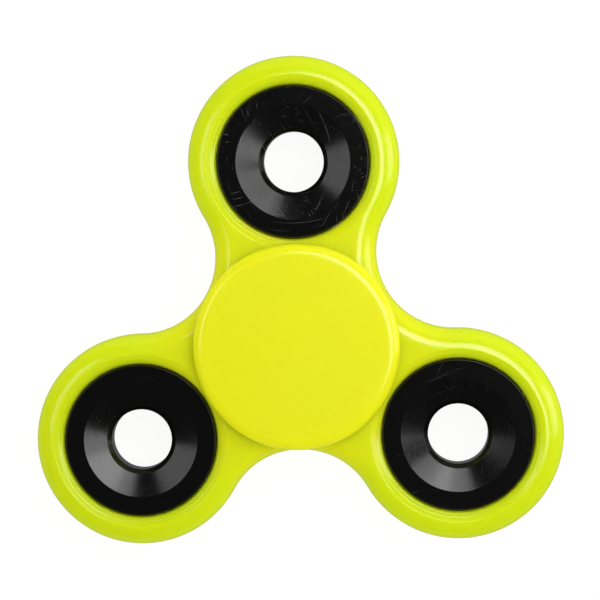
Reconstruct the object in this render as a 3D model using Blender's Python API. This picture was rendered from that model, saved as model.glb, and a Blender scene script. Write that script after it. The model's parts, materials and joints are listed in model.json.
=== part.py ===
"""A three-lobed fidget spinner, modelled as the separate pieces it is assembled from.

A moulded body frame carries a black steel counterweight in each lobe and a 608 ball bearing in its
centre. Two finger caps press into each other through the bearing's bore and hold its inner ring, so
the frame spins while the caps stand still between finger and thumb.

Frame: metres, +Z up along the spin axis, origin at the centre of the bottom finger cap's flat face,
one lobe towards +Y. Every profile is drawn about the mid-plane, which all the pieces share.
"""

import math

import bmesh
import bpy

MM = 0.001

# The centre bearing is the standard 608 size: 8 mm bore, 22 mm outside, 7 mm wide.
BEARING_BORE_R = 4.0 * MM
BEARING_OUTER_R = 11.0 * MM
BEARING_WIDTH = 7.0 * MM
BALL_COUNT = 7
BALL_R = 1.984 * MM
PITCH_R = 7.5 * MM
INNER_SHOULDER_R = 6.05 * MM
OUTER_SHOULDER_R = 8.95 * MM
RING_CHAMFER = 0.3 * MM

# Shields snap into a recess at each end of the outer ring.
SHIELD_SEAT_R = 9.6 * MM
SHIELD_SEAT_Z = 2.65 * MM
SHIELD_INNER_R = 6.3 * MM
SHIELD_SHEET = 0.3 * MM
SHIELD_DISH_R = 8.6 * MM
SHIELD_DISH = 0.2 * MM

# The cage is two wavy stamped strips that close round the balls, riveted between them.
CAGE_SHEET = 0.3 * MM
CAGE_HALF_WIDTH = 0.85 * MM
RIVET_SHANK_R = 0.35 * MM
RIVET_HEAD_R = 0.62 * MM
RIVET_HEAD_RISE = 0.28 * MM
RIVET_HEAD_CROWN = 0.75
RIVET_HOLE_DEPTH = 1.2 * MM

# Body frame: three lobes on arms, joined by concave valleys that are tangent to them.
LOBE_COUNT = 3
FIRST_LOBE_ANGLE = math.pi / 2
ARM_R = 26.4 * MM
LOBE_R = 15.2 * MM
VALLEY_R = 11.1 * MM
FRAME_THICKNESS = 8.2 * MM
FRAME_FILLET = 3.0 * MM
MOUTH_R = 12.6 * MM
MOUTH_STEP_R = 11.9 * MM
MOUTH_STEP_DEPTH = 0.2 * MM
MOUTH_DEPTH = 1.0 * MM
BEARING_SEAT_CHAMFER = 0.4 * MM

# Counterweights: rings with the bearing's outside diameter and a countersink in both faces.
WEIGHT_R = 11.0 * MM
WEIGHT_THICKNESS = 6.6 * MM
WEIGHT_CHAMFER = 0.25 * MM
SINK_OUTER_R = 8.2 * MM
SINK_INNER_R = 4.95 * MM
SINK_DEPTH = 1.1 * MM
WEIGHT_BORE_R = 4.35 * MM
WEIGHT_BORE_DEPTH = 1.7 * MM

# Finger caps: a disc over each end of the bearing, a shoulder that bears on its inner ring,
# and a boss in its bore. The bottom cap's pin presses into the top cap's hollow boss.
CAP_R = 14.8 * MM
CAP_THICKNESS = 2.0 * MM
CAP_FILLET = 1.5 * MM
CAP_UNDER_EDGE = 0.25 * MM
CAP_CLEARANCE = 0.4 * MM
CAP_SHOULDER_R = 5.5 * MM
CAP_RIM_INNER_R = 13.2 * MM
CAP_CORE_DEPTH = 0.7 * MM
BOSS_CHAMFER = 0.3 * MM
PIN_R = 2.4 * MM
PIN_LENGTH = 4.6 * MM

# Gaps between neighbouring solids: a press fit or a resting face, and a running clearance.
SEAT_GAP = 0.2 * MM
RUN_GAP = 0.1 * MM

# Heights and radii that follow from the dimensions above, measured from the mid-plane.
BEARING_FACE = BEARING_WIDTH / 2
FRAME_FACE = FRAME_THICKNESS / 2
WEIGHT_FACE = WEIGHT_THICKNESS / 2
CAP_UNDERSIDE = FRAME_FACE + CAP_CLEARANCE
CAP_FACE = CAP_UNDERSIDE + CAP_THICKNESS
SHOULDER_FACE = BEARING_FACE + SEAT_GAP
SEAT_R = BEARING_OUTER_R + SEAT_GAP
BOSS_R = BEARING_BORE_R - SEAT_GAP
SOCKET_R = PIN_R + SEAT_GAP
BOSS_TIP = SEAT_GAP / 2
GROOVE_R = BALL_R + RUN_GAP
MID_Z = CAP_FACE

# Facet counts
ROUND_STEPS = 40
SMALL_STEPS = 10
LOBE_STEPS = 18
VALLEY_STEPS = 8
FILLET_STEPS = 4
GROOVE_STEPS = 6
POCKET_STEPS = 4
BALL_SEGMENTS = 14
BALL_RINGS = 9

WELD = 0.001 * MM
SMOOTH_ANGLE = math.radians(32)


def clear_scene():
    for item in list(bpy.data.objects):
        bpy.data.objects.remove(item, do_unlink=True)


def plain_material(name, color, roughness, metallic):
    material = bpy.data.materials.new(name)
    material.use_nodes = True
    shader = material.node_tree.nodes["Principled BSDF"]
    shader.inputs["Base Color"].default_value = (*color, 1.0)
    shader.inputs["Roughness"].default_value = roughness
    shader.inputs["Metallic"].default_value = metallic
    material.diffuse_color = (*color, 1.0)
    return material


def axis_empty(name, height):
    """An empty on the spin axis that carries the pieces turning together."""
    empty = bpy.data.objects.new(name, None)
    empty.location.z = height
    bpy.context.collection.objects.link(empty)
    return empty


def make_object(name, bm, material, parent):
    mesh = bpy.data.meshes.new(name)
    bmesh.ops.recalc_face_normals(bm, faces=bm.faces)
    bm.to_mesh(mesh)
    bm.free()
    mesh.shade_smooth()
    mesh.set_sharp_from_angle(angle=SMOOTH_ANGLE)
    mesh.materials.append(material)
    item = bpy.data.objects.new(name, mesh)
    item.parent = parent
    bpy.context.collection.objects.link(item)
    return item


def arc(centre, radius, start, end, steps):
    """Points on an arc of a profile, from angle start to angle end, both included."""
    points = []
    for step in range(steps + 1):
        angle = start + (end - start) * step / steps
        points.append((centre[0] + radius * math.cos(angle), centre[1] + radius * math.sin(angle)))
    return points


def flipped(profile):
    """The profile reflected in the mid-plane, running the other way."""
    return [(radius, -height) for radius, height in reversed(profile)]


def spin_profile(bm, profile, steps):
    """Turns a profile of (radius, height) points about Z. One that starts on the axis stays open."""
    verts = [bm.verts.new((radius, 0, height)) for radius, height in profile]
    edges = [bm.edges.new(pair) for pair in zip(verts, verts[1:])]
    if profile[0][0] > 0:
        edges.append(bm.edges.new((verts[-1], verts[0])))
    bmesh.ops.spin(
        bm, geom=verts + edges, cent=(0, 0, 0), axis=(0, 0, 1), angle=math.tau, steps=steps, use_merge=True
    )
    bmesh.ops.remove_doubles(bm, verts=bm.verts, dist=WELD)


def turned(name, profile, material, parent, steps=ROUND_STEPS):
    bm = bmesh.new()
    spin_profile(bm, profile, steps)
    return make_object(name, bm, material, parent)


def skin_rings(bm, rings, closed):
    """Joins rings of the same number of points with quads, and returns the rings' vertices."""
    loops = [[bm.verts.new(point) for point in ring] for ring in rings]
    pairs = list(zip(loops, loops[1:]))
    if closed:
        pairs.append((loops[-1], loops[0]))
    for lower, upper in pairs:
        count = len(lower)
        for index in range(count):
            following = (index + 1) % count
            bm.faces.new((lower[index], lower[following], upper[following], upper[index]))
    return loops


def lobe_angles():
    return [FIRST_LOBE_ANGLE + math.tau * index / LOBE_COUNT for index in range(LOBE_COUNT)]


def on_circle(radius, angle, height=0.0):
    return (radius * math.cos(angle), radius * math.sin(angle), height)


def valley_centre_r():
    """Distance from the spin axis to a valley's centre, where its arc is tangent to both lobes."""
    half_turn = math.pi / LOBE_COUNT
    reach = LOBE_R + VALLEY_R
    along = ARM_R * math.cos(half_turn)
    across = ARM_R * math.sin(half_turn)
    return along + math.sqrt(reach**2 - across**2)


def outline(inset):
    """The frame's outline moved inwards by inset: lobe arcs joined by valley arcs."""
    half_turn = math.pi / LOBE_COUNT
    valley_r = valley_centre_r()
    tangent = math.atan2(valley_r * math.sin(half_turn), valley_r * math.cos(half_turn) - ARM_R)
    valley_sweep = tangent - half_turn
    points = []
    for angle in lobe_angles():
        lobe = on_circle(ARM_R, angle)
        valley = on_circle(valley_r, angle + half_turn)
        facing = angle + half_turn + math.pi
        points += arc(lobe, LOBE_R - inset, angle - tangent, angle + tangent, LOBE_STEPS)
        dip = arc(valley, VALLEY_R + inset, facing + valley_sweep, facing - valley_sweep, VALLEY_STEPS)
        points += dip[1:-1]
    return points


def frame_levels():
    """Inset and height of each ring of the frame's side, from the bottom face to the top one."""
    top = arc((FRAME_FILLET, FRAME_FACE - FRAME_FILLET), FRAME_FILLET, math.pi, math.pi / 2, FILLET_STEPS)
    return flipped(top) + top


def mouth_cutter_profile():
    """A weight's seat and its dished mouths, carried past both faces of the frame."""
    past_face = FRAME_FACE + MOUTH_DEPTH
    upper = [
        (SEAT_R, FRAME_FACE - MOUTH_DEPTH),
        (MOUTH_STEP_R, FRAME_FACE - MOUTH_STEP_DEPTH),
        (MOUTH_R, FRAME_FACE),
        (MOUTH_R + (MOUTH_R - MOUTH_STEP_R) * MOUTH_DEPTH / MOUTH_STEP_DEPTH, past_face),
        (0, past_face),
    ]
    return flipped(upper) + upper


def bearing_seat_cutter_profile():
    """The bearing's seat with a 45 degree lead-in chamfer, carried past both faces of the frame."""
    past_face = FRAME_FACE + BEARING_SEAT_CHAMFER
    upper = [
        (SEAT_R, FRAME_FACE - BEARING_SEAT_CHAMFER),
        (SEAT_R + 2 * BEARING_SEAT_CHAMFER, past_face),
        (0, past_face),
    ]
    return flipped(upper) + upper


def cut_with(target, cutter):
    cutter.hide_render = True
    cutter.display_type = "WIRE"
    boolean = target.modifiers.new(cutter.name, "BOOLEAN")
    boolean.operation = "DIFFERENCE"
    boolean.solver = "EXACT"
    boolean.object = cutter


def make_body_frame(material, parent):
    bm = bmesh.new()
    rings = [[(x, y, height) for x, y in outline(inset)] for inset, height in frame_levels()]
    loops = skin_rings(bm, rings, closed=False)
    bm.faces.new(reversed(loops[0]))
    bm.faces.new(loops[-1])
    frame = make_object("body_frame", bm, material, parent)
    cut_with(frame, turned("cut_bearing_seat", bearing_seat_cutter_profile(), material, parent))
    for number, angle in enumerate(lobe_angles(), 1):
        cutter = turned(f"cut_weight_seat_{number}", mouth_cutter_profile(), material, parent)
        cutter.location = on_circle(ARM_R, angle)
        cut_with(frame, cutter)


def weight_profile():
    """Edge chamfer, flat rim, countersink, and a short steep step down to the through bore."""
    upper = [
        (WEIGHT_R, WEIGHT_FACE - WEIGHT_CHAMFER),
        (WEIGHT_R - WEIGHT_CHAMFER, WEIGHT_FACE),
        (SINK_OUTER_R, WEIGHT_FACE),
        (SINK_INNER_R, WEIGHT_FACE - SINK_DEPTH),
        (WEIGHT_BORE_R, WEIGHT_FACE - WEIGHT_BORE_DEPTH),
    ]
    return upper + flipped(upper)


def make_counterweights(material, parent):
    for number, angle in enumerate(lobe_angles(), 1):
        weight = turned(f"counterweight_{number}", weight_profile(), material, parent)
        weight.location = on_circle(ARM_R, angle)


def groove_arc(shoulder_r, side):
    """The ball track in a ring, from shoulder to shoulder. side is 1 outside the balls, -1 inside."""
    reach = side * math.acos((shoulder_r - PITCH_R) * side / GROOVE_R)
    middle = 0.0 if side > 0 else math.pi
    return arc((PITCH_R, 0.0), GROOVE_R, middle - reach, middle + reach, GROOVE_STEPS)


def outer_ring_profile():
    end = [
        (OUTER_SHOULDER_R, SHIELD_SEAT_Z),
        (SHIELD_SEAT_R, SHIELD_SEAT_Z),
        (SHIELD_SEAT_R, BEARING_FACE),
        (BEARING_OUTER_R - RING_CHAMFER, BEARING_FACE),
        (BEARING_OUTER_R, BEARING_FACE - RING_CHAMFER),
    ]
    return groove_arc(OUTER_SHOULDER_R, 1) + end + flipped(end)


def inner_ring_profile():
    end = [
        (INNER_SHOULDER_R, BEARING_FACE - RING_CHAMFER),
        (INNER_SHOULDER_R - RING_CHAMFER, BEARING_FACE),
        (BEARING_BORE_R + RING_CHAMFER, BEARING_FACE),
        (BEARING_BORE_R, BEARING_FACE - RING_CHAMFER),
    ]
    return groove_arc(INNER_SHOULDER_R, -1) + end + flipped(end)


def shield_profile(side):
    """A thin disc, dished outwards over its inner part. side is 1 for the top shield."""
    seat = SHIELD_SEAT_Z + RUN_GAP
    outer_r = SHIELD_SEAT_R - RUN_GAP
    lower = [
        (outer_r, seat),
        (SHIELD_DISH_R, seat),
        (SHIELD_DISH_R - SHIELD_DISH, seat + SHIELD_DISH),
        (SHIELD_INNER_R, seat + SHIELD_DISH),
    ]
    upper = [(radius, height + SHIELD_SHEET) for radius, height in reversed(lower)]
    return [(radius, side * height) for radius, height in lower + upper]


def cage_sections(side):
    """Cross-sections of a cage half, four corners each, in order round the bearing."""
    pocket_r = GROOVE_R
    land = RUN_GAP / 2
    inner_reach = math.acos(land / pocket_r)
    outer_r = pocket_r + CAGE_SHEET
    outer_reach = math.acos((land + CAGE_SHEET) / outer_r)
    half_pitch = math.pi * PITCH_R / BALL_COUNT
    waves = []
    for step in range(-POCKET_STEPS, POCKET_STEPS + 1):
        share = step / POCKET_STEPS
        inner_angle = share * inner_reach
        outer_angle = share * outer_reach
        inner = (pocket_r * math.sin(inner_angle), pocket_r * math.cos(inner_angle))
        outer = (outer_r * math.sin(outer_angle), outer_r * math.cos(outer_angle))
        waves.append((inner, outer))
    waves.append(((half_pitch, land), (half_pitch, land + CAGE_SHEET)))
    sections = []
    for ball in range(BALL_COUNT):
        ball_angle = math.tau * ball / BALL_COUNT
        for inner, outer in waves:
            corners = []
            for radius, (travel, height) in (
                (PITCH_R - CAGE_HALF_WIDTH, inner),
                (PITCH_R + CAGE_HALF_WIDTH, inner),
                (PITCH_R + CAGE_HALF_WIDTH, outer),
                (PITCH_R - CAGE_HALF_WIDTH, outer),
            ):
                corners.append(on_circle(radius, ball_angle + travel / PITCH_R, side * height))
            sections.append(corners)
    return sections


def rivet_angles():
    return [math.tau * (index + 0.5) / BALL_COUNT for index in range(BALL_COUNT)]


def rivet_hole_cutter(material, parent):
    """Seven short cylinders through the cage's flat lands, as one cutter."""
    bm = bmesh.new()
    for angle in rivet_angles():
        hole = bmesh.ops.create_cone(
            bm,
            cap_ends=True,
            segments=SMALL_STEPS,
            radius1=RIVET_SHANK_R + RUN_GAP,
            radius2=RIVET_SHANK_R + RUN_GAP,
            depth=RIVET_HOLE_DEPTH,
        )
        bmesh.ops.translate(bm, verts=hole["verts"], vec=on_circle(PITCH_R, angle))
    return make_object("cut_rivet_holes", bm, material, parent)


def make_cage(material, parent):
    holes = rivet_hole_cutter(material, parent)
    for name, side in (("cage_half_top", 1), ("cage_half_bottom", -1)):
        bm = bmesh.new()
        skin_rings(bm, cage_sections(side), closed=True)
        cut_with(make_object(name, bm, material, parent), holes)


def rivet_profile():
    under_head = RUN_GAP / 2 + CAGE_SHEET + RUN_GAP / 2
    upper = [
        (RIVET_SHANK_R, under_head),
        (RIVET_HEAD_R, under_head),
        (RIVET_HEAD_R * RIVET_HEAD_CROWN, under_head + RIVET_HEAD_RISE * RIVET_HEAD_CROWN),
        (0, under_head + RIVET_HEAD_RISE),
    ]
    return flipped(upper) + upper


def make_rivets(material, parent):
    for number, angle in enumerate(rivet_angles(), 1):
        rivet = turned(f"cage_rivet_{number}", rivet_profile(), material, parent, SMALL_STEPS)
        rivet.location = on_circle(PITCH_R, angle)


def make_balls(material, parent):
    for index in range(BALL_COUNT):
        bm = bmesh.new()
        bmesh.ops.create_uvsphere(bm, u_segments=BALL_SEGMENTS, v_segments=BALL_RINGS, radius=BALL_R)
        ball = make_object(f"bearing_ball_{index + 1}", bm, material, parent)
        ball.location = on_circle(PITCH_R, math.tau * index / BALL_COUNT)


def cap_disc_profile():
    """The part both caps share, from the boss up over the disc to the axis."""
    core_ceiling = CAP_UNDERSIDE + CAP_CORE_DEPTH
    return [
        (BOSS_R, BOSS_TIP + BOSS_CHAMFER),
        (BOSS_R, SHOULDER_FACE),
        (CAP_SHOULDER_R, SHOULDER_FACE),
        (CAP_SHOULDER_R, core_ceiling),
        (CAP_RIM_INNER_R, core_ceiling),
        (CAP_RIM_INNER_R, CAP_UNDERSIDE),
        (CAP_R - CAP_UNDER_EDGE, CAP_UNDERSIDE),
        (CAP_R, CAP_UNDERSIDE + CAP_UNDER_EDGE),
        *arc((CAP_R - CAP_FILLET, CAP_FACE - CAP_FILLET), CAP_FILLET, 0.0, math.pi / 2, FILLET_STEPS),
        (0, CAP_FACE),
    ]


def top_cap_profile():
    socket_end = PIN_LENGTH + SEAT_GAP
    socket = [
        (0, socket_end),
        (SOCKET_R, socket_end),
        (SOCKET_R, BOSS_TIP),
        (BOSS_R - BOSS_CHAMFER, BOSS_TIP),
    ]
    return socket + cap_disc_profile()


def bottom_cap_profile():
    pin = [
        (BOSS_R - BOSS_CHAMFER, -BOSS_TIP),
        (PIN_R, -BOSS_TIP),
        (PIN_R, PIN_LENGTH - BOSS_CHAMFER),
        (PIN_R - BOSS_CHAMFER, PIN_LENGTH),
        (0, PIN_LENGTH),
    ]
    return flipped(cap_disc_profile()) + pin


def make_spinner():
    body_plastic = plain_material("body_plastic", (0.70, 0.80, 0.02), 0.28, 0.0)
    cap_plastic = plain_material("cap_plastic", (0.84, 0.87, 0.03), 0.32, 0.0)
    black_steel = plain_material("black_steel", (0.012, 0.012, 0.013), 0.35, 0.3)
    ring_steel = plain_material("ring_steel", (0.60, 0.60, 0.62), 0.22, 1.0)
    ball_steel = plain_material("ball_steel", (0.72, 0.73, 0.75), 0.08, 1.0)
    shield_steel = plain_material("shield_steel", (0.55, 0.56, 0.58), 0.35, 1.0)
    cage_steel = plain_material("cage_steel", (0.48, 0.47, 0.45), 0.40, 1.0)
    rivet_steel = plain_material("rivet_steel", (0.42, 0.41, 0.40), 0.45, 1.0)

    held = axis_empty("held_axis", MID_Z)
    rotor = axis_empty("rotor_axis", MID_Z)
    cage = axis_empty("cage_axis", MID_Z)

    turned("finger_cap_top", top_cap_profile(), cap_plastic, held)
    turned("finger_cap_bottom", bottom_cap_profile(), cap_plastic, held)
    turned("bearing_inner_ring", inner_ring_profile(), ring_steel, held)

    make_body_frame(body_plastic, rotor)
    make_counterweights(black_steel, rotor)
    turned("bearing_outer_ring", outer_ring_profile(), ring_steel, rotor)
    turned("bearing_shield_top", shield_profile(1), shield_steel, rotor)
    turned("bearing_shield_bottom", shield_profile(-1), shield_steel, rotor)

    make_cage(cage_steel, cage)
    make_rivets(rivet_steel, cage)
    make_balls(ball_steel, cage)


clear_scene()
make_spinner()
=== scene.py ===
"""The looks of a three-lobed fidget spinner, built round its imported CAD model.

Finer pieces take the place of the CAD solids: the moulded frame with its soft crests and parting
line, the countersunk steel weights, the finger caps, and the rings, shields and balls of the bearing
that the caps hide. Only the ball cage keeps its CAD shape. Lengths are in millimetres until a mesh is
made. Heights are measured from the mid-plane that all the pieces share.
"""

import json
import math
from functools import partial

import bmesh
import bpy
from mathutils import Matrix, Vector
from mathutils.geometry import delaunay_2d_cdt

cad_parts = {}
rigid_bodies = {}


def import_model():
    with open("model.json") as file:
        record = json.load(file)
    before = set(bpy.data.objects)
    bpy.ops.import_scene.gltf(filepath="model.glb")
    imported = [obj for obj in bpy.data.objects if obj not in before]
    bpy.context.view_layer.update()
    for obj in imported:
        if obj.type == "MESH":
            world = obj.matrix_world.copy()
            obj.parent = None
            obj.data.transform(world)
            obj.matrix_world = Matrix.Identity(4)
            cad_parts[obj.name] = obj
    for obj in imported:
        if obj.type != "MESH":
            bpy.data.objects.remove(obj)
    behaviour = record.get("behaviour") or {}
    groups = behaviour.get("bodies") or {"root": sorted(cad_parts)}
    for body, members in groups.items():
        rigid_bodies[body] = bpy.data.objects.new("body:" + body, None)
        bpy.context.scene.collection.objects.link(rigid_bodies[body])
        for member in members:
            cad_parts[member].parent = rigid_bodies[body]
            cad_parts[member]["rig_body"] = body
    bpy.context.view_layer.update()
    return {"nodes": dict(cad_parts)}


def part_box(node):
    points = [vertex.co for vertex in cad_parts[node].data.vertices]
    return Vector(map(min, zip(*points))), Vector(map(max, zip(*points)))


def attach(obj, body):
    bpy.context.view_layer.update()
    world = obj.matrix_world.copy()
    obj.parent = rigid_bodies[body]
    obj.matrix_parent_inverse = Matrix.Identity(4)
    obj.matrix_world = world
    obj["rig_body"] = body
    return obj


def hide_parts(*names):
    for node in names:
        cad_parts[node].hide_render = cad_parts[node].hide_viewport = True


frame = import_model()

MM = 0.001
X, Y, Z = range(3)


def reach(node, axis):
    """Lowest and highest coordinate of a CAD node along an axis, in millimetres."""
    low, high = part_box(node)
    return low[axis] / MM, high[axis] / MM


# Sizes that the CAD model settles.
MID_Z = sum(reach("body_frame", Z)) / 2
FRAME_FACE = reach("body_frame", Z)[1] - MID_Z
ARM_R = sum(reach("counterweight_1", Y)) / 2
LOBE_R = reach("body_frame", Y)[1] - ARM_R
WEIGHT_R = reach("counterweight_1", X)[1]
WEIGHT_FACE = reach("counterweight_1", Z)[1] - MID_Z
CAP_R = reach("finger_cap_top", X)[1]
CAP_FACE = reach("finger_cap_top", Z)[1] - MID_Z
BEARING_R = reach("bearing_outer_ring", X)[1]
BEARING_FACE = reach("bearing_outer_ring", Z)[1] - MID_Z
BALL_R = (reach("bearing_ball_1", Z)[1] - reach("bearing_ball_1", Z)[0]) / 2
PITCH_R = sum(reach("bearing_ball_1", X)) / 2

# Frame
LOBE_COUNT = 3
FIRST_LOBE_ANGLE = math.pi / 2
VALLEY_R = 11.1
FRAME_FILLET = 3.0
SEAT_GAP = 0.2
PRESS_GAP = 0.02
MOUTH_R = 12.5
MOUTH_STEP_R = 11.86
MOUTH_LEDGE = 0.06
MOUTH_SLOPE = math.tan(math.radians(29))
MOUTH_WALL_SLOPE = math.tan(math.radians(43))
LEDGE_SLOPE = math.tan(math.radians(10))
LEDGE_ROUND = 0.02
LIP_LEDGE = 0.07
CREST_ROUND = 0.03
LIP_R = 0.14
LIP_STEP = 0.6 * LIP_R
FIT_DEPTH = 4 * LIP_R
SEAT_CHAMFER = 0.4
PARTING_RIDGE = 0.035
PARTING_HALF_WIDTH = 0.07
PARTING_TOP_HALF_WIDTH = PARTING_HALF_WIDTH / 3

# Counterweights
WEIGHT_CHAMFER = 0.25
SINK_OUTER_R = 8.2
SINK_INNER_R = 4.95
SINK_DEPTH = 1.1
WEIGHT_BORE_R = 4.35
WEIGHT_BORE_DEPTH = 1.7
WEIGHT_EDGE_R = 0.07

# Finger caps
CAP_THICKNESS = 2.0
CAP_FILLET = 1.5
CAP_UNDER_EDGE = 0.25
CAP_SHOULDER_R = 5.5
CAP_RIM_INNER_R = 13.2
CAP_CORE_DEPTH = 0.7
CAP_EDGE_R = 0.12
BOSS_CHAMFER = 0.3
PIN_R = 2.4
PIN_LENGTH = 4.6
SOCKET_EDGE_R = 0.1

# Bearing
BALL_COUNT = 7
BEARING_BORE_R = 4.0
RING_CORNER_R = 0.3
RING_EDGE_R = 0.08
INNER_SHOULDER_R = 6.05
OUTER_SHOULDER_R = 8.95
TRACK_GAP = 0.1
SHIELD_SEAT_R = 9.6
SHIELD_SEAT_Z = 2.65
SHIELD_INNER_R = 6.3
SHIELD_SHEET = 0.3
SHIELD_DISH_R = 8.6
SHIELD_DISH = 0.2
SHIELD_BEND_R = 0.1

# Mesh fineness
ROUND_STEPS = 192
LOBE_STEPS = 132
VALLEY_STEPS = 56
FILLET_RINGS = 14
CORNER_STEPS = 5
CORNER_SUPPORT = 0.3
TRACK_STEPS = 24
BALL_STEPS = 64
LIP_TURNS = (30, 60, 90)
WELD = 0.002
SMOOTH_ANGLE = math.radians(35)

# The frame's rings, given by their distances from the bend that they follow.
CREST_OFFSETS = (0.14, 0.10, 0.07, 0.045, 0.02, 0.0, -0.02, -0.045, -0.07, -0.10, -0.14)
STEP_OFFSETS = (0.05, 0.025, 0.01, -0.01, -0.03, -0.06, -0.08, -0.10, -0.12, -0.15)
LIP_OFFSETS = (0.25, 0.10, 0.05, 0.02, 0.0, -0.02, -0.05)
SEAT_OFFSETS = (0.5, 0.2, 0.06, 0.0, -0.06)

# The triangles that fill the frame's flat, which start part of the way up the outer fillet.
FILL_INSET = 2.25
FILL_ROW_INSETS = (2.42, 2.6, 2.8, 3.0, 3.25)
FILL_ROW_CLEARANCE = 0.06
FILL_SPACING = 0.85
FILL_CLEARANCE = 0.4
FILL_FILLET_CLEARANCE = 0.7
SAME_POINT = 1e-4

# Surface marks, and painted bounce light near the spin axis
# Painted bounce light: within these distances of the spin axis the body's colour turns yellower and
# brighter, standing in for light thrown back onto it by the finger cap.
PAINTED_BOUNCE_START = 16.0
PAINTED_BOUNCE_END = 25.0
STREAK_R = 10.0
WEIGHT_WEAR = (0.8, 0.12, 0.3)
SCRATCH_SETS = 4
SCRATCH_SWING = 9.0
SCRATCH_WIDTH = 0.17
SCRATCH_LENGTH = 7.0
SCRATCH_PATCH = 3.5
CLEAN_THRESHOLD = 0.56
WEAR_LOWERING = 0.14
SPECK_STRENGTH = 0.7
SINK_BLEND = 0.1
GROOVE_SHADE = 0.86


# ---------------------------------------------------------------- shapes


def on_circle(radius, angle, height=0.0):
    """A point on a circle round the origin."""
    return (radius * math.cos(angle), radius * math.sin(angle), height)


def lobe_angles():
    """The directions of the lobes from the spin axis."""
    return [FIRST_LOBE_ANGLE + math.tau * index / LOBE_COUNT for index in range(LOBE_COUNT)]


def arc(centre, radius, start, end, steps):
    """Points on an arc from angle start to angle end, both included."""
    points = []
    for step in range(steps + 1):
        angle = start + (end - start) * step / steps
        points.append((centre[0] + radius * math.cos(angle), centre[1] + radius * math.sin(angle)))
    return points


def flipped(profile):
    """The profile reflected in the mid-plane, running the other way. A corner keeps its radius."""
    return [(radius, -height, *rest) for radius, height, *rest in reversed(profile)]


def rounded(corners):
    """Turns (radius, height, corner radius) points into a profile with round corners.

    A short straight stretch on each side of a round corner keeps the flats' shading flat.
    """
    closed = corners[0][0] > 0
    count = len(corners)
    profile = []
    for index, (x, z, corner_r) in enumerate(corners):
        here = Vector((x, z))
        inner_point = closed or 0 < index < count - 1
        if not inner_point or corner_r == 0:
            profile.append((x, z))
            continue
        before = Vector(corners[index - 1][:2]) - here
        after = Vector(corners[(index + 1) % count][:2]) - here
        half = before.angle(after) / 2
        back = corner_r / math.tan(half)
        support = CORNER_SUPPORT * corner_r
        centre = here + (before.normalized() + after.normalized()).normalized() * corner_r / math.sin(half)
        first = here + before.normalized() * back
        last = here + after.normalized() * back
        start = (first - centre).normalized()
        end = (last - centre).normalized()
        sweep = start.angle(end)
        if before.length > back + support:
            profile.append(tuple(first + before.normalized() * support))
        for step in range(CORNER_STEPS + 1):
            share = step / CORNER_STEPS
            turn = (start * math.sin((1 - share) * sweep) + end * math.sin(share * sweep)) / math.sin(sweep)
            profile.append(tuple(centre + turn * corner_r))
        if after.length > back + support:
            profile.append(tuple(last + after.normalized() * support))
    return profile


def turned(profile, steps=ROUND_STEPS):
    """Vertices and faces of a profile turned about Z. One that starts on the axis ends on it too."""
    verts = []
    faces = []
    rows = []
    for radius, height in profile:
        start = len(verts)
        if radius == 0:
            verts.append((0.0, 0.0, height))
            rows.append([start] * steps)
        else:
            verts += [on_circle(radius, math.tau * step / steps, height) for step in range(steps)]
            rows.append(list(range(start, start + steps)))
    pairs = list(zip(rows, rows[1:]))
    if profile[0][0] > 0:
        pairs.append((rows[-1], rows[0]))
    for lower, upper in pairs:
        for step in range(steps):
            after = (step + 1) % steps
            corners = (lower[step], lower[after], upper[after], upper[step])
            faces.append(tuple(dict.fromkeys(corners)))
    return verts, faces


def finished_piece(node, shape, material, centre=(0.0, 0.0, 0.0)):
    """A fine piece that stands for a CAD node and rides on the node's body. The node itself is hidden."""
    verts, faces = shape
    mesh = bpy.data.meshes.new(node + "_finished")
    mesh.from_pydata([[value * MM for value in point] for point in verts], [], faces)
    bm = bmesh.new()
    bm.from_mesh(mesh)
    bmesh.ops.remove_doubles(bm, verts=bm.verts, dist=WELD * MM)
    bmesh.ops.recalc_face_normals(bm, faces=bm.faces)
    bm.to_mesh(mesh)
    bm.free()
    mesh.shade_smooth()
    mesh.set_sharp_from_angle(angle=SMOOTH_ANGLE)
    mesh.materials.append(material)
    item = bpy.data.objects.new(node + "_finished", mesh)
    bpy.context.collection.objects.link(item)
    item.location = (centre[0] * MM, centre[1] * MM, (centre[2] + MID_Z) * MM)
    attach(item, frame["nodes"][node]["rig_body"])
    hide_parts(node)


# ---------------------------------------------------------------- body frame

SEAT_R = WEIGHT_R + SEAT_GAP
SEAT_RIM_R = SEAT_R + SEAT_CHAMFER
LIP_TOP_R = SEAT_R + LIP_R
MOUTH_EDGE_R = LOBE_R - FILL_INSET
MOUTH_BENDS = (
    (MOUTH_STEP_R, LEDGE_SLOPE),
    (MOUTH_STEP_R - MOUTH_LEDGE, MOUTH_WALL_SLOPE),
    (LIP_TOP_R + LIP_LEDGE, LEDGE_SLOPE),
)
HALF_TURN = math.pi / LOBE_COUNT


def valley_centre_r():
    """Distance from the spin axis to a valley's centre, where its arc is tangent to both lobes."""
    along = ARM_R * math.cos(HALF_TURN)
    across = ARM_R * math.sin(HALF_TURN)
    return along + math.sqrt((LOBE_R + VALLEY_R) ** 2 - across**2)


VALLEY_CENTRE_R = valley_centre_r()
TANGENT_ANGLE = math.atan2(
    VALLEY_CENTRE_R * math.sin(HALF_TURN), VALLEY_CENTRE_R * math.cos(HALF_TURN) - ARM_R
)


def lobe_arc(angle, radius):
    """The arc round a lobe's centre that the outline follows."""
    return arc(on_circle(ARM_R, angle), radius, angle - TANGENT_ANGLE, angle + TANGENT_ANGLE, LOBE_STEPS)


def valley_arc(angle, inset):
    """The valley that follows the lobe at angle, moved into the frame by inset."""
    facing = angle + HALF_TURN + math.pi
    sweep = TANGENT_ANGLE - HALF_TURN
    centre = on_circle(VALLEY_CENTRE_R, angle + HALF_TURN)
    return arc(centre, VALLEY_R + inset, facing + sweep, facing - sweep, VALLEY_STEPS)


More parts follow.
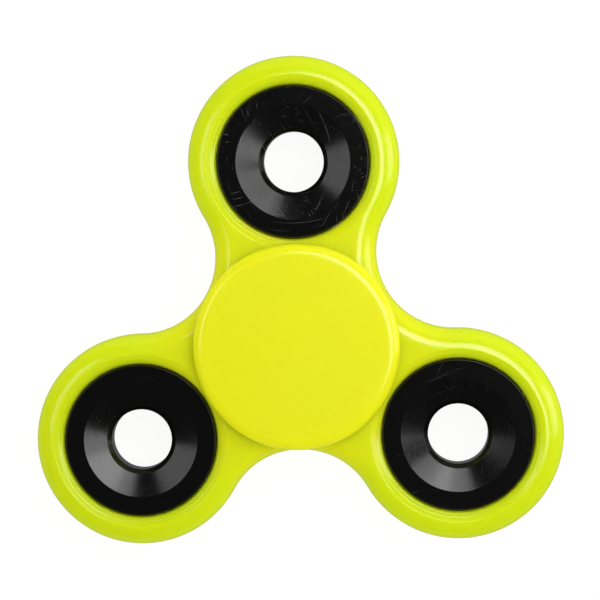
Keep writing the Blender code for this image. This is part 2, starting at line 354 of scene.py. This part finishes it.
def outline(inset):
    """The frame's outline, moved inwards by inset."""
    points = []
    for angle in lobe_angles():
        points += lobe_arc(angle, LOBE_R - inset)
        points += valley_arc(angle, inset)[1:-1]
    return points


def lobe_circle(angle, radius):
    """A full circle round a lobe's centre, with the outline's own points where they coincide."""
    steps = ROUND_STEPS - LOBE_STEPS
    far_side = arc(
        on_circle(ARM_R, angle), radius, angle + TANGENT_ANGLE, angle - TANGENT_ANGLE + math.tau, steps
    )
    return lobe_arc(angle, radius) + far_side[1:-1]


def seat_circle(radius):
    """A full circle round the spin axis."""
    return arc((0.0, 0.0), radius, 0.0, math.tau, ROUND_STEPS)[:-1]


def places(x, y):
    """Distances of a point from the outline, from the nearest weight's axis and from the spin axis."""
    from_axis = math.hypot(x, y)
    angle = (math.atan2(y, x) - FIRST_LOBE_ANGLE + HALF_TURN) % (2 * HALF_TURN) - HALF_TURN
    along = from_axis * math.cos(angle) - ARM_R
    across = abs(from_axis * math.sin(angle))
    from_weight = math.hypot(along, across)
    if math.atan2(across, along) < TANGENT_ANGLE:
        return LOBE_R - from_weight, from_weight, from_axis
    valley = Vector(on_circle(VALLEY_CENTRE_R, HALF_TURN))
    inset = math.hypot(along + ARM_R - valley.x, across - valley.y) - VALLEY_R
    return inset, from_weight, from_axis


def soft_ramp(value, width):
    """Nothing below zero and the value above it, with a rounded corner."""
    return (value + math.sqrt(value * value + width * width)) / 2


def soft_max(first, second, width):
    """The larger of two depths, with the corner between them rounded."""
    near = max(width - abs(first - second), 0.0)
    return max(first, second) + near * near / (4 * width)


def face_depth(x, y):
    """How far the frame's surface lies below its flat face."""
    inset, from_weight, from_axis = places(x, y)
    rise = FRAME_FILLET - max(0.0, min(inset, FRAME_FILLET))
    fillet = FRAME_FILLET - math.sqrt(FRAME_FILLET**2 - rise**2)
    mouth = MOUTH_SLOPE * (MOUTH_R - from_weight)
    slope = MOUTH_SLOPE
    for bend_r, next_slope in MOUTH_BENDS:
        mouth += (next_slope - slope) * soft_ramp(bend_r - from_weight, LEDGE_ROUND)
        slope = next_slope
    seat = SEAT_RIM_R - from_axis
    return soft_max(soft_max(fillet, mouth, CREST_ROUND), seat, CREST_ROUND)


def at_face(points):
    """Flat points raised to the frame's upper surface."""
    return [(x, y, FRAME_FACE - face_depth(x, y)) for x, y in points]


def at_height(points, height):
    """Flat points raised to one height."""
    return [(x, y, height) for x, y in points]


def add_rings(verts, faces, rings):
    """Joins rings of the same number of points with quads."""
    count = len(rings[0])
    for ring_index, ring in enumerate(rings):
        start = len(verts)
        verts += ring
        if ring_index == 0:
            continue
        for index in range(count):
            after = (index + 1) % count
            faces.append((start - count + index, start - count + after, start + after, start + index))


def outer_rings():
    """Rings from the parting line up the side and over the outer fillet."""
    side_bottom = PARTING_HALF_WIDTH * 1.5
    side_top = FRAME_FACE - FRAME_FILLET - PARTING_HALF_WIDTH
    rings = [
        at_height(outline(-PARTING_RIDGE), 0.0),
        at_height(outline(-PARTING_RIDGE), PARTING_TOP_HALF_WIDTH),
        at_height(outline(0.0), PARTING_HALF_WIDTH),
        at_height(outline(0.0), side_bottom),
        at_height(outline(0.0), side_top),
    ]
    last_turn = math.acos(1 - FILL_INSET / FRAME_FILLET)
    for ring in range(FILLET_RINGS + 1):
        turn = last_turn * ring / FILLET_RINGS
        rings.append(at_face(outline(FRAME_FILLET * (1 - math.cos(turn)))))
    return rings


def bore_rings(circle, ring_radii):
    """Rings over a dished mouth, round its lip and down the bore to the mid-plane.

    Below the lip the bore narrows to the press fit that holds a weight or the bearing.
    """
    rings = [at_face(circle(radius)) for radius in ring_radii]
    lip_height = at_face(circle(LIP_TOP_R))[0][2]
    for turn in LIP_TURNS:
        radius = SEAT_R + LIP_R * (1 - math.sin(math.radians(turn)))
        drop = LIP_R * (1 - math.cos(math.radians(turn))) + LIP_STEP
        rings.append(at_height(circle(radius), lip_height - drop))
    fit_r = SEAT_R - SEAT_GAP + PRESS_GAP
    fit_height = lip_height - FIT_DEPTH
    rings.append(at_height(circle(SEAT_R), fit_height + SEAT_GAP))
    rings.append(at_height(circle(fit_r), fit_height))
    rings.append(at_height(circle(fit_r), 0.0))
    return rings


def mouth_radii():
    """Radii of the rings round a weight, close together where the surface bends."""
    crest = [MOUTH_R + offset for offset in CREST_OFFSETS]
    step = [MOUTH_STEP_R + offset for offset in STEP_OFFSETS]
    lip = [LIP_TOP_R + LIP_LEDGE + offset for offset in LIP_OFFSETS]
    above_crest = (MOUTH_EDGE_R + crest[0]) / 2
    above_step = (crest[-1] + step[0]) / 2
    below_step = (step[-1] + lip[0]) / 2
    return [MOUTH_EDGE_R, above_crest, *crest, above_step, *step, below_step, *lip, LIP_TOP_R]


def seat_radii():
    """Radii of the rings round the bearing seat."""
    rim = [SEAT_RIM_R + offset for offset in SEAT_OFFSETS]
    return [*rim, LIP_TOP_R]


def fill_points():
    """Loose points for the flat between the lobes and the outer fillet's last stretch there."""
    points = []
    for angle in lobe_angles():
        for inset in FILL_ROW_INSETS:
            for x, y in valley_arc(angle, inset):
                _, from_weight, _ = places(x, y)
                if from_weight > MOUTH_EDGE_R + FILL_ROW_CLEARANCE:
                    points.append((x, y))
    count = math.ceil((ARM_R + LOBE_R) / FILL_SPACING)
    for row in range(-count, count + 1):
        for column in range(-count, count + 1):
            x = (column + 0.5 * (row % 2)) * FILL_SPACING
            y = row * FILL_SPACING * math.sin(math.pi / 3)
            inset, from_weight, from_axis = places(x, y)
            past_fillet = inset > FRAME_FILLET + FILL_FILLET_CLEARANCE
            past_mouth = from_weight > MOUTH_EDGE_R + FILL_CLEARANCE
            past_seat = from_axis > seat_radii()[0] + FILL_CLEARANCE
            if past_fillet and past_mouth and past_seat:
                points.append((x, y))
    return points


def add_flat(verts, faces):
    """Fills the face between the fillet, the three mouths and the bearing seat with triangles."""
    loops = [outline(FILL_INSET)]
    loops += [lobe_circle(angle, MOUTH_EDGE_R) for angle in lobe_angles()]
    loops.append(seat_circle(seat_radii()[0]))
    points = []
    borders = []
    for loop in loops:
        borders.append(list(range(len(points), len(points) + len(loop))))
        points += loop
    points += fill_points()
    flat_points = [Vector(point[:2]) for point in points]
    whole_hull = 0
    found, _, triangles, _, _, loops_round = delaunay_2d_cdt(
        flat_points, [], borders, whole_hull, SAME_POINT, True
    )
    start = len(verts)
    verts += at_face([tuple(point) for point in found])
    outline_only = [0]
    for triangle, loops_here in zip(triangles, loops_round):
        if loops_here == outline_only:
            faces.append([start + index for index in triangle])


def body_shape():
    """The frame's upper half, and the same half mirrored below the parting line."""
    verts = []
    faces = []
    add_rings(verts, faces, outer_rings())
    for angle in lobe_angles():
        add_rings(verts, faces, bore_rings(partial(lobe_circle, angle), mouth_radii()))
    add_rings(verts, faces, bore_rings(seat_circle, seat_radii()))
    add_flat(verts, faces)
    count = len(verts)
    verts += [(x, y, -z) for x, y, z in verts]
    faces += [[count + index for index in reversed(face)] for face in faces]
    return verts, faces


# ---------------------------------------------------------------- turned pieces


def weight_shape():
    """A steel ring, countersunk and then eased into its bore from both faces."""
    soft_edge_r = 2 * WEIGHT_EDGE_R
    upper = [
        (WEIGHT_R, WEIGHT_FACE - WEIGHT_CHAMFER, WEIGHT_EDGE_R),
        (WEIGHT_R - WEIGHT_CHAMFER, WEIGHT_FACE, WEIGHT_EDGE_R),
        (SINK_OUTER_R, WEIGHT_FACE, WEIGHT_EDGE_R),
        (SINK_INNER_R, WEIGHT_FACE - SINK_DEPTH, soft_edge_r),
        (WEIGHT_BORE_R, WEIGHT_FACE - WEIGHT_BORE_DEPTH, soft_edge_r),
    ]
    return turned(rounded(upper + flipped(upper)))


CAP_UNDERSIDE = CAP_FACE - CAP_THICKNESS
SHOULDER_FACE = BEARING_FACE + SEAT_GAP
BOSS_R = BEARING_BORE_R - SEAT_GAP
BOSS_TIP = SEAT_GAP / 2


def cap_disc():
    """The corners both caps share, from the boss up over the disc to the axis."""
    ceiling = CAP_UNDERSIDE + CAP_CORE_DEPTH
    return [
        (BOSS_R, BOSS_TIP, BOSS_CHAMFER),
        (BOSS_R, SHOULDER_FACE, 0.0),
        (CAP_SHOULDER_R, SHOULDER_FACE, CAP_EDGE_R),
        (CAP_SHOULDER_R, ceiling, 0.0),
        (CAP_RIM_INNER_R, ceiling, 0.0),
        (CAP_RIM_INNER_R, CAP_UNDERSIDE, CAP_EDGE_R),
        (CAP_R, CAP_UNDERSIDE, CAP_UNDER_EDGE),
        (CAP_R, CAP_FACE, CAP_FILLET),
        (0.0, CAP_FACE, 0.0),
    ]


def top_cap_shape():
    """The upper cap, whose boss has a socket for the lower cap's pin."""
    socket_r = PIN_R + SEAT_GAP
    socket_end = PIN_LENGTH + SEAT_GAP
    socket = [
        (0.0, socket_end, 0.0),
        (socket_r, socket_end, 0.0),
        (socket_r, BOSS_TIP, SOCKET_EDGE_R),
    ]
    return turned(rounded(socket + cap_disc()))


def bottom_cap_shape():
    """The lower cap, with the pin that joins the two."""
    pin = [(PIN_R, -BOSS_TIP, 0.0), (PIN_R, PIN_LENGTH, BOSS_CHAMFER), (0.0, PIN_LENGTH, 0.0)]
    return turned(rounded(flipped(cap_disc()) + pin))


def track(shoulder_r, side):
    """The ball track in a ring, from shoulder to shoulder. side is 1 outside the balls, -1 inside."""
    groove_r = BALL_R + TRACK_GAP
    span = side * math.acos((shoulder_r - PITCH_R) * side / groove_r)
    middle = 0.0 if side > 0 else math.pi
    points = arc((PITCH_R, 0.0), groove_r, middle - span, middle + span, TRACK_STEPS)
    return [(radius, height, 0.0) for radius, height in points]


def outer_ring_shape():
    """The outer ring, with a step at each end that the shields sit in."""
    end = [
        (OUTER_SHOULDER_R, SHIELD_SEAT_Z, RING_EDGE_R),
        (SHIELD_SEAT_R, SHIELD_SEAT_Z, 0.0),
        (SHIELD_SEAT_R, BEARING_FACE, RING_EDGE_R),
        (BEARING_R, BEARING_FACE, RING_CORNER_R),
    ]
    return turned(rounded(track(OUTER_SHOULDER_R, 1) + end + flipped(end)))


def inner_ring_shape():
    """The inner ring, which the caps' bosses fit into."""
    end = [
        (INNER_SHOULDER_R, BEARING_FACE, RING_CORNER_R),
        (BEARING_BORE_R, BEARING_FACE, RING_CORNER_R),
    ]
    return turned(rounded(track(INNER_SHOULDER_R, -1) + end + flipped(end)))


def shield_shape(side):
    """A thin disc with a rolled rim, dished outwards over its inner part."""
    seat = SHIELD_SEAT_Z + TRACK_GAP
    sheet = [
        (SHIELD_SEAT_R - TRACK_GAP, seat, SHIELD_BEND_R),
        (SHIELD_DISH_R, seat, SHIELD_BEND_R),
        (SHIELD_DISH_R - 2 * SHIELD_DISH, seat + SHIELD_DISH, SHIELD_BEND_R),
        (SHIELD_INNER_R, seat + SHIELD_DISH, SHIELD_BEND_R),
    ]
    outer = [(radius, height + SHIELD_SHEET, corner) for radius, height, corner in reversed(sheet)]
    profile = sheet + outer
    if side < 0:
        profile = flipped(profile)
    return turned(rounded(profile))


def ball_shape():
    """A ball as a half circle turned about its diameter."""
    half_circle = arc((0.0, 0.0), BALL_R, -math.pi / 2, math.pi / 2, BALL_STEPS // 2)
    return turned([(0.0, -BALL_R), *half_circle[1:-1], (0.0, BALL_R)], BALL_STEPS)


# ---------------------------------------------------------------- materials


class Graph:
    """A material's nodes, with short calls for the kinds used here."""

    # The sockets of a Mix node that mixes colours: its factor and two colours, and the result.
    MIX_INPUTS = (0, 6, 7)
    MIX_OUTPUT = 2

    def __init__(self, name):
        self.material = bpy.data.materials.new(name)
        self.material.use_nodes = True
        self.tree = self.material.node_tree
        self.shader = self.tree.nodes["Principled BSDF"]

    def feed(self, socket, value):
        """Links a value that another node gives, and sets one that is a constant."""
        if isinstance(value, bpy.types.NodeSocket):
            self.tree.links.new(value, socket)
        else:
            socket.default_value = value

    def add(self, kind, inputs=None, output=0, **settings):
        """Adds a node and gives one of its outputs."""
        node = self.tree.nodes.new(kind)
        for key, value in settings.items():
            setattr(node, key, value)
        for key, value in (inputs or {}).items():
            self.feed(node.inputs[key], value)
        return node.outputs[output]

    def finish(self, **inputs):
        """Feeds the shader's sockets, named with underscores for spaces."""
        for key, value in inputs.items():
            self.feed(self.shader.inputs[key.replace("_", " ")], value)
        return self.material

    def position(self):
        """The place on the piece, measured from the piece's own origin."""
        return self.add("ShaderNodeTexCoord", output="Object")

    def math(self, operation, first, second=0.0):
        return self.add("ShaderNodeMath", {0: first, 1: second}, operation=operation)

    def between(self, value, low, high, to_low=0.0, to_high=1.0):
        """A clamped smooth step of value from low to high."""
        inputs = {0: value, 1: low, 2: high, 3: to_low, 4: to_high}
        return self.add("ShaderNodeMapRange", inputs, interpolation_type="SMOOTHSTEP")

    def noise(self, vector, size, detail=2.0, seed=0.0):
        """Noise whose features are about size millimetres across."""
        inputs = {"Vector": vector, "Scale": 1 / (size * MM), "Detail": detail, "W": seed}
        return self.add("ShaderNodeTexNoise", inputs, noise_dimensions="4D")

    def blend(self, factor, first, second):
        """A colour between two colours."""
        node = self.tree.nodes.new("ShaderNodeMix")
        node.data_type = "RGBA"
        for index, value in zip(self.MIX_INPUTS, (factor, first, second)):
            self.feed(node.inputs[index], value)
        return node.outputs[self.MIX_OUTPUT]

    def bump(self, height, depth, below=None):
        """Bump of the given depth in millimetres, on top of another bump."""
        inputs = {"Height": height, "Distance": depth * MM, "Strength": 1.0}
        if below is not None:
            inputs["Normal"] = below
        return self.add("ShaderNodeBump", inputs)

    def flat(self, position, centre=(0.0, 0.0)):
        """The position without its height, measured from a centre in millimetres."""
        scale = (1.0, 1.0, 0.0)
        level = self.add("ShaderNodeVectorMath", {0: position, 1: scale}, operation="MULTIPLY")
        middle = (centre[0] * MM, centre[1] * MM, 0.0)
        return self.add("ShaderNodeVectorMath", {0: level, 1: middle}, operation="SUBTRACT")

    def radius(self, level):
        return self.add("ShaderNodeVectorMath", {0: level}, "Value", operation="LENGTH")

    def ring_streaks(self, position, across, along, centre=(0.0, 0.0), seed=0.0):
        """Noise drawn out round a centre. across and along are its sizes in millimetres."""
        level = self.flat(position, centre)
        radius = self.radius(level)
        outward = self.add("ShaderNodeVectorMath", {0: level}, operation="NORMALIZE")
        turns = {0: outward, "Scale": STREAK_R / along}
        around = self.add("ShaderNodeVectorMath", turns, operation="SCALE")
        rings = self.add("ShaderNodeCombineXYZ", {2: self.math("DIVIDE", radius, across * MM)})
        vector = self.add("ShaderNodeVectorMath", {0: around, 1: rings}, operation="ADD")
        inputs = {"Vector": vector, "Scale": 1.0, "Detail": 2.0, "W": seed}
        return self.add("ShaderNodeTexNoise", inputs, noise_dimensions="4D")


def rgb(red, green, blue):
    return (red, green, blue, 1.0)


def plastic(name, color, deep_color, bounce_light_color, gloss, glow_radius, glow_depth):
    """Glossy moulded ABS: slight clouds in the colour, a faint orange peel and hairline scuffs.

    Towards the spin axis it shades over into a yellower, brighter colour: painted bounce light from the
    finger cap.
    """
    graph = Graph(name)
    position = graph.position()
    clouds = graph.noise(position, size=9.0, detail=3.0)
    tinted = graph.blend(graph.between(clouds, 0.35, 0.65), color, deep_color)
    # Painted bounce light from the finger cap: the colour shades over to a yellower, brighter one near the
    # spin axis.
    bounce_share = graph.between(graph.radius(graph.flat(position)), PAINTED_BOUNCE_END * MM, PAINTED_BOUNCE_START * MM)
    peel = graph.noise(position, size=1.3)
    scuffs = graph.between(graph.noise(position, size=0.35, detail=3.0), 0.66, 0.74)
    base_roughness = graph.between(clouds, 0.3, 0.7, to_low=gloss, to_high=gloss + 0.04)
    roughness = graph.math("ADD", base_roughness, graph.math("MULTIPLY", scuffs, 0.06))
    return graph.finish(
        Base_Color=graph.blend(bounce_share, tinted, bounce_light_color),
        Roughness=roughness,
        Normal=graph.bump(peel, depth=0.004),
        IOR=1.58,
        Subsurface_Weight=1.0,
        Subsurface_Radius=glow_radius,
        Subsurface_Scale=glow_depth * MM,
    )


def scratches(graph, position, seed, wear):
    """Sparse hairlines that run in short arcs round centres off to one side.

    More wear, from 0 to 1, makes them brighter and covers more of the piece with them.
    """
    threshold = CLEAN_THRESHOLD - WEAR_LOWERING * wear
    marks = 0.0
    for turn in range(SCRATCH_SETS):
        angle = math.tau * turn / SCRATCH_SETS + seed
        centre = (SCRATCH_SWING * math.cos(angle), SCRATCH_SWING * math.sin(angle))
        lines = graph.ring_streaks(position, SCRATCH_WIDTH, SCRATCH_LENGTH, centre, seed + turn)
        thin = graph.between(lines, 0.64, 0.71)
        clouds = graph.noise(position, SCRATCH_PATCH, detail=1.0, seed=seed + turn + 0.5)
        patch = graph.between(clouds, threshold, threshold + 0.12)
        marks = graph.math("MAXIMUM", marks, graph.math("MULTIPLY", thin, patch))
    return graph.math("MULTIPLY", marks, wear)


def black_steel(number):
    """Black-coated turned steel with hairline scratches, dust specks and a satin countersink."""
    graph = Graph(f"black_coated_steel_{number}")
    position = graph.position()
    turning = graph.ring_streaks(position, across=0.06, along=30.0, seed=number)
    lines = scratches(graph, position, number, WEIGHT_WEAR[number])
    specks = graph.between(graph.noise(position, size=0.22, detail=1.0, seed=number), 0.74, 0.80)
    grain = graph.noise(position, size=0.5, detail=4.0, seed=number)
    wear = graph.math("MAXIMUM", lines, graph.math("MULTIPLY", specks, SPECK_STRENGTH))
    from_axis = graph.radius(graph.flat(position))
    cone = graph.between(from_axis, SINK_OUTER_R * MM, (SINK_OUTER_R - SINK_BLEND) * MM)
    satin = graph.math("MULTIPLY", cone, graph.between(grain, 0.3, 0.7, to_low=0.03, to_high=0.08))
    roughness = graph.math("ADD", satin, graph.between(turning, 0.3, 0.7, to_low=0.10, to_high=0.14))
    coating = rgb(0.002, 0.002, 0.002)
    bared = rgb(0.06, 0.06, 0.056)
    return graph.finish(
        Base_Color=graph.blend(wear, coating, bared),
        Roughness=graph.math("ADD", roughness, graph.math("MULTIPLY", wear, 0.2)),
        Normal=graph.bump(turning, depth=0.0004),
        IOR=1.54,
    )


def bare_steel(name, color, low_roughness, high_roughness, across):
    """Ground or polished steel with fine marks round its axis."""
    graph = Graph(name)
    position = graph.position()
    marks = graph.ring_streaks(position, across, along=40.0)
    smudges = graph.noise(position, size=2.5, detail=3.0)
    groove_color = rgb(*[value * GROOVE_SHADE for value in color[:3]])
    return graph.finish(
        Base_Color=graph.blend(marks, color, groove_color),
        Metallic=1.0,
        Roughness=graph.between(smudges, 0.35, 0.65, low_roughness, high_roughness),
        Normal=graph.bump(marks, depth=0.001),
    )


def polished_steel(name, color):
    """Lapped ball steel, with a trace of grease."""
    graph = Graph(name)
    film = graph.noise(graph.position(), size=1.2)
    greased = rgb(0.62, 0.61, 0.57)
    return graph.finish(
        Base_Color=graph.blend(graph.between(film, 0.45, 0.65), color, greased),
        Metallic=1.0,
        Roughness=graph.between(film, 0.4, 0.7, to_low=0.05, to_high=0.16),
    )


def floor_material():
    """Paper that looks white by its own glow, so that hardly any shadow shows on it."""
    graph = Graph("white_sweep")
    fibres = graph.noise(graph.position(), size=0.6, detail=4.0)
    return graph.finish(
        Base_Color=graph.blend(fibres, rgb(0.13, 0.13, 0.13), rgb(0.15, 0.15, 0.15)),
        Roughness=0.95,
        Specular_IOR_Level=0.0,
        Emission_Color=rgb(1.0, 1.0, 1.0),
        Emission_Strength=FLOOR_GLOW,
    )


def glow_material(name, low, high):
    """Evenly lit paper, slightly cloudy, that adds no reflection of its own."""
    graph = Graph(name)
    cloudy = graph.noise(graph.position(), size=900.0)
    return graph.finish(
        Base_Color=rgb(0.0, 0.0, 0.0),
        Specular_IOR_Level=0.0,
        Emission_Color=graph.blend(cloudy, rgb(low, low, low), rgb(high, high, high)),
        Emission_Strength=1.0,
    )


# ---------------------------------------------------------------- assembly


def numbered(prefix, count):
    """Node names that end in 1, 2 and so on."""
    return [f"{prefix}_{number}" for number in range(1, count + 1)]


def node_centre(node):
    """The middle of a node whose centre lies on the mid-plane."""
    return sum(reach(node, X)) / 2, sum(reach(node, Y)) / 2, 0.0


def make_spinner():
    """Every finished piece with its material, and materials for the pieces that keep their shape."""
    lime = rgb(0.705, 0.835, 0.009)
    deep_lime = rgb(0.69, 0.825, 0.008)
    yellow = rgb(0.90, 0.905, 0.013)
    deep_yellow = rgb(0.89, 0.90, 0.012)
    # A yellower, brighter lime for painted bounce light from the cap near the spin axis. The cap passes its
    # own yellow, so it gets none.
    painted_bounce_lime = rgb(0.80, 0.85, 0.009)
    neon = plastic("neon_body_plastic", lime, deep_lime, painted_bounce_lime, 0.165, (1.0, 0.8, 0.1), 2.5)
    cap = plastic("neon_cap_plastic", yellow, deep_yellow, yellow, 0.2, (1.0, 1.0, 0.1), 1.0)
    ring = bare_steel("ground_ring_steel", rgb(0.60, 0.60, 0.62), 0.16, 0.26, 0.02)
    shield = bare_steel("pressed_shield_steel", rgb(0.55, 0.56, 0.58), 0.24, 0.36, 0.06)
    cage = bare_steel("stamped_cage_steel", rgb(0.48, 0.47, 0.45), 0.30, 0.42, 0.05)
    rivet = bare_steel("rivet_wire_steel", rgb(0.42, 0.41, 0.40), 0.32, 0.45, 0.03)
    ball = polished_steel("lapped_ball_steel", rgb(0.72, 0.73, 0.75))

    finished_piece("body_frame", body_shape(), neon)
    for number, node in enumerate(numbered("counterweight", LOBE_COUNT)):
        finished_piece(node, weight_shape(), black_steel(number), node_centre(node))
    finished_piece("finger_cap_top", top_cap_shape(), cap)
    finished_piece("finger_cap_bottom", bottom_cap_shape(), cap)
    finished_piece("bearing_outer_ring", outer_ring_shape(), ring)
    finished_piece("bearing_inner_ring", inner_ring_shape(), ring)
    finished_piece("bearing_shield_top", shield_shape(1), shield)
    finished_piece("bearing_shield_bottom", shield_shape(-1), shield)
    for node in numbered("bearing_ball", BALL_COUNT):
        finished_piece(node, ball_shape(), ball, node_centre(node))
    for node in ("cage_half_top", "cage_half_bottom"):
        frame["nodes"][node].material_slots[0].material = cage
    for node in numbered("cage_rivet", BALL_COUNT):
        frame["nodes"][node].material_slots[0].material = rivet


# ---------------------------------------------------------------- camera, lights and floor

CAMERA_PLACE = Vector((15.0, 23.0, 345.8))
CAMERA_TARGET = Vector((0.44, 6.45, MID_Z))
CAMERA_ROLL = math.radians(-1.17)
VIEW_WIDTH = 86.8
SENSOR = 36.0
NEAREST_SEEN = 10.0
FARTHEST_SEEN = 20000.0
FLOOR_HALF = 3000.0
BACKDROP_R = 2500.0
BACKDROP_HEIGHT = 2500.0
HORIZON_GLOW = 1.45
ZENITH_GLOW = 0.55
GLOW_TOP = 0.5
DOME_DIMNESS = 0.05
FLOOR_DIMNESS = 0.2
DIM_SWING = 0.05
FLOOR_GLOW = 0.92
BACKDROP_GLOW = (0.985, 1.0)
WALL_STEPS = 96
DOME_RINGS = 32


def make_camera():
    """A camera above the spinner, with a lens that shows VIEW_WIDTH at the distance of its target."""
    camera = bpy.data.objects.new("camera", bpy.data.cameras.new("camera"))
    bpy.context.collection.objects.link(camera)
    sight = CAMERA_TARGET - CAMERA_PLACE
    camera.data.sensor_width = SENSOR
    camera.data.lens = SENSOR * sight.length / VIEW_WIDTH
    camera.data.clip_start = NEAREST_SEEN * MM
    camera.data.clip_end = FARTHEST_SEEN * MM
    backward = -sight.normalized()
    level = Vector(on_circle(1.0, CAMERA_ROLL))
    right = (level - backward * level.dot(backward)).normalized()
    up = backward.cross(right)
    axes = Matrix((right, up, backward)).transposed().to_4x4()
    camera.matrix_world = Matrix.Translation(CAMERA_PLACE * MM) @ axes
    bpy.context.scene.camera = camera


def softbox(name, azimuth, zenith, distance, wide, tall, radiance, reflected=True):
    """A rectangular light aimed at the spinner. Angles are in degrees, wide and tall as seen from it.

    A reflected light only shows in glossy surfaces, and the others only light what is dull.
    """
    level = Vector(on_circle(1.0, math.radians(azimuth)))
    direction = level * math.sin(math.radians(zenith)) + Vector((0, 0, math.cos(math.radians(zenith))))
    data = bpy.data.lights.new(name, "AREA")
    data.shape = "RECTANGLE"
    data.size = 2 * distance * MM * math.tan(math.radians(wide / 2))
    data.size_y = 2 * distance * MM * math.tan(math.radians(tall / 2))
    data.energy = radiance * math.pi * data.size * data.size_y
    light = bpy.data.objects.new(name, data)
    bpy.context.collection.objects.link(light)
    light.location = direction * distance * MM
    light.rotation_mode = "QUATERNION"
    light.rotation_quaternion = (-direction).to_track_quat("-Z", "Y")
    light.visible_camera = False
    light.visible_glossy = reflected
    light.visible_diffuse = not reflected


def make_world():
    """Soft light from all round, brightest at the horizon. Reflections show the dim dome instead."""
    world = bpy.data.worlds.new("studio")
    world.use_nodes = True
    tree = world.node_tree
    place = tree.nodes.new("ShaderNodeTexCoord")
    parts = tree.nodes.new("ShaderNodeSeparateXYZ")
    fade = tree.nodes.new("ShaderNodeMapRange")
    fade.inputs["From Max"].default_value = GLOW_TOP
    fade.inputs["To Min"].default_value = HORIZON_GLOW
    fade.inputs["To Max"].default_value = ZENITH_GLOW
    tree.links.new(place.outputs["Generated"], parts.inputs[0])
    tree.links.new(parts.outputs["Z"], fade.inputs["Value"])
    tree.links.new(fade.outputs[0], tree.nodes["Background"].inputs["Color"])
    bpy.context.scene.world = world
    world.cycles_visibility.glossy = False


def stage_piece(name, verts, faces, material, seen_by):
    """A piece of the studio. seen_by lists the kinds of rays that meet it."""
    mesh = bpy.data.meshes.new(name)
    mesh.from_pydata([[value * MM for value in point] for point in verts], [], faces)
    mesh.materials.append(material)
    item = bpy.data.objects.new(name, mesh)
    bpy.context.collection.objects.link(item)
    item.visible_camera = "camera" in seen_by
    item.visible_diffuse = "diffuse" in seen_by
    item.visible_glossy = "glossy" in seen_by
    item.visible_shadow = "shadow" in seen_by


def dim_glow_material(name, dimness):
    """Lit paper whose brightness swings a little either side of dimness."""
    return glow_material(name, (1 - DIM_SWING) * dimness, (1 + DIM_SWING) * dimness)


def make_floor():
    """The floor that is seen and lit, and a dimmer one for the reflections low on the sides."""
    corners = [(-1, -1), (1, -1), (1, 1), (-1, 1)]
    verts = [(x * FLOOR_HALF, y * FLOOR_HALF, 0.0) for x, y in corners]
    face = [(0, 1, 2, 3)]
    dim = dim_glow_material("dim_floor", FLOOR_DIMNESS)
    stage_piece("floor", verts, face, floor_material(), ("camera", "diffuse", "shadow"))
    stage_piece("reflected_floor", verts, face, dim, ("glossy",))


def make_walls():
    """A pale wall all round that only the camera sees, and a dim dome that only reflections see."""
    wall = [(BACKDROP_R, 0.0), (BACKDROP_R, BACKDROP_HEIGHT)]
    dome = arc((0.0, 0.0), BACKDROP_R, -math.pi / 2, math.pi / 2, DOME_RINGS)
    dome[0] = (0.0, -BACKDROP_R)
    dome[-1] = (0.0, BACKDROP_R)
    pale = glow_material("pale_backdrop", *BACKDROP_GLOW)
    dim = dim_glow_material("dim_dome", DOME_DIMNESS)
    stage_piece("backdrop", *turned(wall, WALL_STEPS), pale, ("camera",))
    stage_piece("dome", *turned(dome, WALL_STEPS), dim, ("glossy",))


def make_lights():
    """The lights that the spinner reflects, and one that lights its dull surfaces."""
    softbox("key_high", azimuth=32, zenith=20.5, distance=360, wide=52, tall=20, radiance=3.1)
    softbox("key_core", azimuth=38, zenith=20.5, distance=360, wide=26, tall=18, radiance=2.2)
    softbox("key_low", azimuth=44, zenith=34, distance=400, wide=30, tall=9, radiance=2.5)
    softbox("left_panel", azimuth=163, zenith=38.5, distance=318, wide=31, tall=20, radiance=1.6)
    softbox("right_window", azimuth=6, zenith=71, distance=400, wide=26, tall=35, radiance=2.1)
    softbox("back_wall", azimuth=60, zenith=75, distance=500, wide=110, tall=34, radiance=0.22)
    softbox(
        "fill", azimuth=40, zenith=30, distance=190, wide=50, tall=50, radiance=1.7, reflected=False
    )


def make_studio():
    """Everything round the spinner: camera, world, floor, walls and lights."""
    make_camera()
    make_world()
    make_floor()
    make_walls()
    make_lights()
    bpy.context.scene.view_settings.view_transform = "Standard"


make_spinner()
make_studio()
